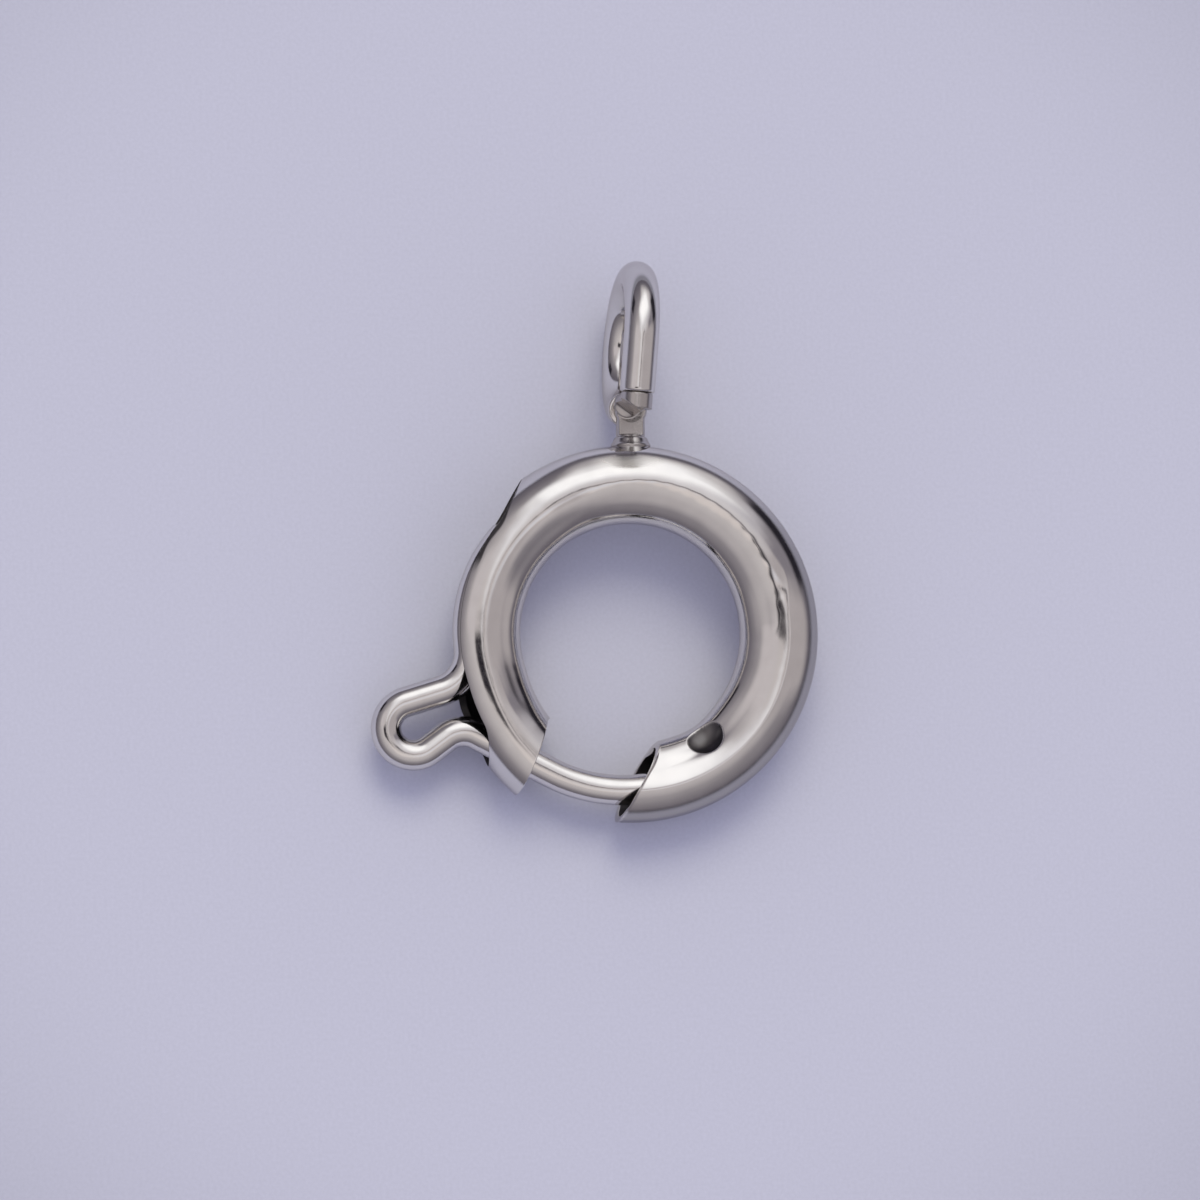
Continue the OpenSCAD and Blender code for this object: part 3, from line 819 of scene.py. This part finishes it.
def polished_steel(name, tint, rough, wave, streaks, shade_and_dull=False):
    """Steel with a slowly uneven wall and fine rub marks along the wire, up to wave metres deep."""
    mat, nt, shader = new_material(name)
    spot = node(nt, "TexCoord", out="Object")
    slow = noise(nt, spot, 700.0, 1.5, 0.45)
    run = node(nt, "UVMap", out="UV", uv_map="run")
    fine = noise(nt, node(nt, "Mapping", {"Vector": run, "Scale": streaks}), 6.0, 4.0, 0.6)
    wall = node(nt, "Bump", {"Strength": 1.0, "Distance": wave, "Height": slow})
    rubbed = node(nt, "Bump", {"Strength": 1.0, "Distance": wave * 0.04, "Height": fine,
                               "Normal": wall})
    # gloss and tone vary a little where it has been handled
    patch = noise(nt, spot, 1600.0, 3.0)
    handled = node(nt, "Math", {0: patch, 1: fine}, operation="MULTIPLY")
    gloss = node(nt, "MapRange", {"Value": handled, "From Min": 0.1, "From Max": 0.45,
                                  "To Min": rough * 0.7, "To Max": rough * 1.5}, "Result")
    tone = colour_ramp(nt, patch, [(0.3, scaled(tint, 0.94)), (0.75, scaled(tint, 1))])
    # on the tube, the first mask paints shade dark and makes it rougher; the weld's satin only
    # makes it rougher
    if shade_and_dull:
        shaded, weld = (node(nt, "Attribute", out="Fac", attribute_name=x) for x in ("shade_and_dull", "satin"))
        tone = laid_over(nt, tone, shaded, SHADE_COLOUR)
        gloss = node(nt, "Math", {0: shaded, 1: SHADE_ROUGHER, 2: gloss}, operation="MULTIPLY_ADD")
        gloss = node(nt, "Math", {0: weld, 1: SATIN_ROUGHER, 2: gloss}, operation="MULTIPLY_ADD")
    feed(shader, {"Metallic": 1.0, "Specular Tint": (0.82, 0.80, 0.80, 1), "Normal": rubbed,
                  "Roughness": gloss, "Base Color": tone})
    return mat


def floor_paper():
    """Matt lavender paper, evenly coloured round the clasp and painted darker further off, a
    painted falloff of light.
    """
    mat, nt, shader = new_material("lavender_paper")
    spot = node(nt, "TexCoord", out="Object")
    tone = colour_ramp(nt, noise(nt, spot, 9000.0, 3.0),
                       [(0.3, scaled(FLOOR, 0.97)), (0.7, scaled(FLOOR, 1.03))])
    # painted falloff of light: the paper's colour darkens to half between 18 and 50 mm from the
    # floor's middle
    away = node(nt, "VectorMath", {0: spot}, "Value", operation="LENGTH")
    painted_falloff = node(nt, "MapRange", {"Value": away, "From Min": 0.018, "From Max": 0.05,
                                 "To Min": 1.0, "To Max": 0.5}, "Result",
                interpolation_type="SMOOTHSTEP")
    dim = node(nt, "Mix", {0: 1.0, 6: tone, 7: painted_falloff}, 2, data_type="RGBA", blend_type="MULTIPLY")
    feed(shader, {"Roughness": 0.9, "Specular IOR Level": 0.1, "Base Color": dim})
    return mat


# ---------------------------------------------------------------- light
# what lights the paper: a pale wash, and the main soft box, given as in PANELS
AMBIENT = (0.69, 0.69, 0.89)
KEY = (86, 45, 0.30, 0.26, 0.12, 0.12)
KEY_COLOUR = (5.6, 5.4, 4.5)
# what the steel mirrors. Plain walls: degrees off the clasp's front, and the tone there
FALL = [(90, (92, 87, 95)), (3, (192, 183, 181)), (76, (107, 101, 107)), (62, (128, 122, 126)),
        (47, (162, 155, 156)), (28, (184, 177, 176)), (14, (190, 182, 180))]
# Panels laid over them: azimuth, degrees off the front, half width and height, the soft
# edge of each, and sometimes a spin; then the tone
PANELS = [
    ((0, 45, 0.30, 0.62, 0.14, 0.2), (164, 156, 156)),
    ((158, 34, 0.18, 0.22, 0.08, 0.12), (188, 180, 180)),
    ((283, 13, 0.28, 0.13, 0.08, 0.06), (206, 196, 192)),
    ((48, 52, 0.16, 0.34, 0.10, 0.15), (178, 173, 177)),
    ((27, 62, 0.09, 0.34, 0.05, 0.12), (124, 118, 124)),
    ((74, 66, 0.42, 0.30, 0.16, 0.16), (190, 184, 184)),
    ((82, 36, 0.38, 0.38, 0.22, 0.22), (205, 200, 202)),
    ((82, 48, 0.46, 0.30, 0.18, 0.18, 42), (248, 245, 245)),
    ((325, 13, 0.15, 0.09, 0.12, 0.08), (205, 202, 207)),
    ((114, 17, 0.05, 0.22, 0.08, 0.12), (222, 218, 220)),
    ((182, 13, 0.08, 0.16, 0.025, 0.06), (34, 30, 36)),
    ((46, 13, 0.025, 0.11, 0.02, 0.04), (70, 65, 70)),
    ((50, 3, 0.05, 0.015, 0.02, 0.014), (80, 76, 82)),
    ((31, 84, 0.25, 0.20, 0.05, 0.08), (34, 31, 37)),
    ((140, 84, 0.15, 0.15, 0.04, 0.05), (34, 31, 37)),
]


def seen(colour):
    """The light that looks this colour, in 8-bit tones, when polished steel mirrors it."""
    return tuple(((c / 255 + 0.055) / 1.055) ** 2.4 / t for c, t in zip(colour, STEEL)) + (1,)


def direction(azimuth, off):
    """A direction off degrees from the clasp's front, at an azimuth in its flat frame."""
    t = math.radians(off)
    return REST @ np.append(math.sin(t) * unit(azimuth), math.cos(t))


def make_world():
    """A soft tent: plain dim walls with soft boxes and dark gaps, each placed by direction."""
    world = bpy.data.worlds.new("tent")
    bpy.context.scene.world = world
    world.use_nodes = True
    nt = world.node_tree
    nt.nodes.clear()
    ray = node(nt, "TexCoord", out="Generated")

    def dot(vec):
        return node(nt, "VectorMath", {0: ray, 1: tuple(vec)}, "Value", operation="DOT_PRODUCT")

    def calc(operation, *values):
        return node(nt, "Math", dict(enumerate(values)), operation=operation)

    def step(x, lo, hi):
        return node(nt, "MapRange", {"Value": x, "From Min": lo, "From Max": hi}, "Result",
                    interpolation_type="SMOOTHSTEP")

    def panel(azimuth, off, wide, tall, soft_w, soft_t, spin=0.0):
        """A soft-edged rectangle seen in a direction: half sizes and edges as tangents."""
        c = direction(azimuth, off)
        up = FRONT - c * (FRONT @ c)
        up /= np.linalg.norm(up)
        across = np.cross(up, c)
        s = math.radians(spin)
        depth = calc("MAXIMUM", dot(c), 0.02)
        x = calc("DIVIDE", dot(across * math.cos(s) + up * math.sin(s)), depth)
        y = calc("DIVIDE", dot(up * math.cos(s) - across * math.sin(s)), depth)
        in_x = step(calc("ABSOLUTE", x), wide + soft_w, wide - soft_w)
        in_y = step(calc("ABSOLUTE", y), tall + soft_t, tall - soft_t)
        return calc("MULTIPLY", calc("MULTIPLY", in_x, in_y), step(dot(c), 0.03, 0.06))

    tent = colour_ramp(nt, dot(FRONT),
                       [(math.cos(math.radians(off)), seen(tone)) for off, tone in FALL])
    for args, tone in PANELS:
        tent = laid_over(nt, tent, panel(*args), seen(tone))
    lamps = laid_over(nt, AMBIENT + (1,), panel(*KEY), KEY_COLOUR + (1,))
    both = node(nt, "MixShader", {0: node(nt, "LightPath", out="Is Glossy Ray"),
                                  1: node(nt, "Background", {"Color": lamps}),
                                  2: node(nt, "Background", {"Color": tent})})
    feed(nt.nodes.new("ShaderNodeOutputWorld"), {"Surface": both})


# ---------------------------------------------------------------- floor and camera
FLOOR_HALF = 1.5
FRAME, PER_MM = 1200, 31.5  # the photo's side in pixels, and its pixels to a millimetre
CENTRE_AT = (630, 634)  # pixel of the ring's centre, from the upper left
VIEW_FROM = (-0.131, -0.17, 1.0)
FAR, SENSOR = 250.0, 36.0


def make_stage():
    me = bpy.data.meshes.new("floor")
    s = FLOOR_HALF
    me.from_pydata([(-s, -s, 0), (s, -s, 0), (s, s, 0), (-s, s, 0)], [], [(0, 1, 2, 3)])
    floor = add_object("floor", me)
    floor.data.materials.append(floor_paper())


def make_camera():
    """Looks down on the clasp from a little left and below, as the photo does."""
    back = np.array(VIEW_FROM)
    back /= np.linalg.norm(back)
    right = np.array([1.0, 0, 0]) - back[0] * back
    right /= np.linalg.norm(right)
    up = np.cross(back, right)
    x, y = FRAME / 2 - CENTRE_AT[0], CENTRE_AT[1] - FRAME / 2
    aim = ORIGIN + right * x / PER_MM + up * y / PER_MM
    data = bpy.data.cameras.new("camera")
    data.sensor_width = SENSOR
    data.lens = PER_MM * SENSOR * FAR / FRAME
    data.clip_start, data.clip_end = 0.01, 10
    ob = add_object("camera", data)
    pose = np.eye(4)
    pose[:3, 0], pose[:3, 1], pose[:3, 2] = right, up, back
    pose[:3, 3] = (aim + back * FAR) * MM
    ob.matrix_world = Matrix(pose.tolist())
    bpy.context.scene.camera = ob


# ---------------------------------------------------------------- putting it together
mirror = polished_steel("polished_steel", STEEL, 0.085, 1.4e-5, (1.0, 18.0, 1.0), shade_and_dull=True)
wire_steel = polished_steel("wire_steel", STEEL, 0.1, 1.4e-5, (1.5, 14.0, 1.0))
heat_steel = polished_steel("heat_tinted_steel", HEAT_STEEL, 0.2, 1.4e-5, (0.3, 40.0, 1.0))
# rough steel, painted near black as the shade inside the tube
raw_shaded_steel = polished_steel("raw_shaded_steel", RAW_SHADED_STEEL, 0.5, 1.2e-5, (1.0, 9.0, 1.0))
spring_steel = polished_steel("spring_steel", SPRING_STEEL, 0.25, 0.6e-5, (2.0, 8.0, 1.0))

tube = make_tube()
stem = make_stem()
eye = make_eye()
joint = make_joint()
bolt = make_bolt()
coil = make_coil()
for ob, mat, slot in ((tube, mirror, "polished_steel"), (stem, heat_steel, "polished_steel"),
                      (eye, wire_steel, "polished_steel"), (joint, heat_steel, "polished_steel"),
                      (bolt, wire_steel, "polished_steel"), (coil, spring_steel, "spring_wire")):
    ob.data.materials.append(mat)
# the bore and the slit's walls get the steel painted near black as shade
tube.data.materials.append(raw_shaded_steel)
for ob in (tube, stem, eye, joint):
    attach(ob, "ring")
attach(bolt, "bolt")
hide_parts("ring_body")
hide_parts("bolt")
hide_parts("coil_spring")


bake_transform(coil)

make_stage()
make_world()
make_camera()
bpy.context.scene.view_settings.view_transform = "Standard"
